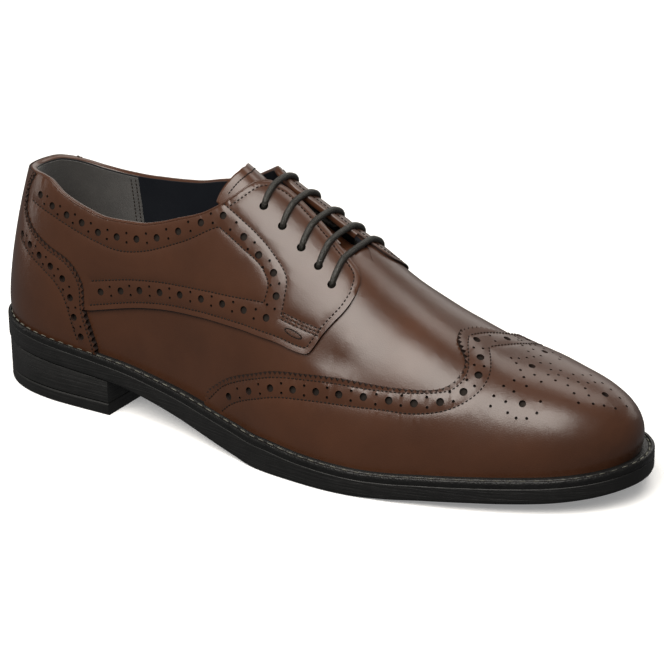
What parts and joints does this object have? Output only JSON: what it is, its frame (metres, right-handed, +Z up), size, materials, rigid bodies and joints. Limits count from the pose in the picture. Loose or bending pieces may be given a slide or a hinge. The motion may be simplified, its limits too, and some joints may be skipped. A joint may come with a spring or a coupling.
{
  "type": "brogue shoe",
  "caption": "Right-foot derby brogue in burnished brown leather with a wing cap, punched bands, straight laces and a black rubber sole.",
  "frame": {"origin": "middle of the footprint, on the floor", "axes": "+X towards the toe, +Y towards the inner side of the foot, +Z up"},
  "size_m": [0.305, 0.1044, 0.1137],
  "materials": {
    "outsole_rubber": "matt",
    "welt_rubber": "satin",
    "heel_rubber": "matt",
    "sock_lining": "matt",
    "upper_leather": "semi-gloss",
    "tongue_leather": "satin",
    "lace_cotton": "waxed"
  },
  "bodies": {
    "root": {"outsole": "outsole_rubber", "welt": "welt_rubber", "heel_block": "heel_rubber", "heel_top_piece": "heel_rubber", "insole": "sock_lining", "upper": "upper_leather", "wing_cap": "upper_leather", "heel_counter": "upper_leather", "quarter_lateral": "upper_leather", "quarter_medial": "upper_leather", "tongue": "tongue_leather", "lace": "lace_cotton"}
  },
  "joints": []
}
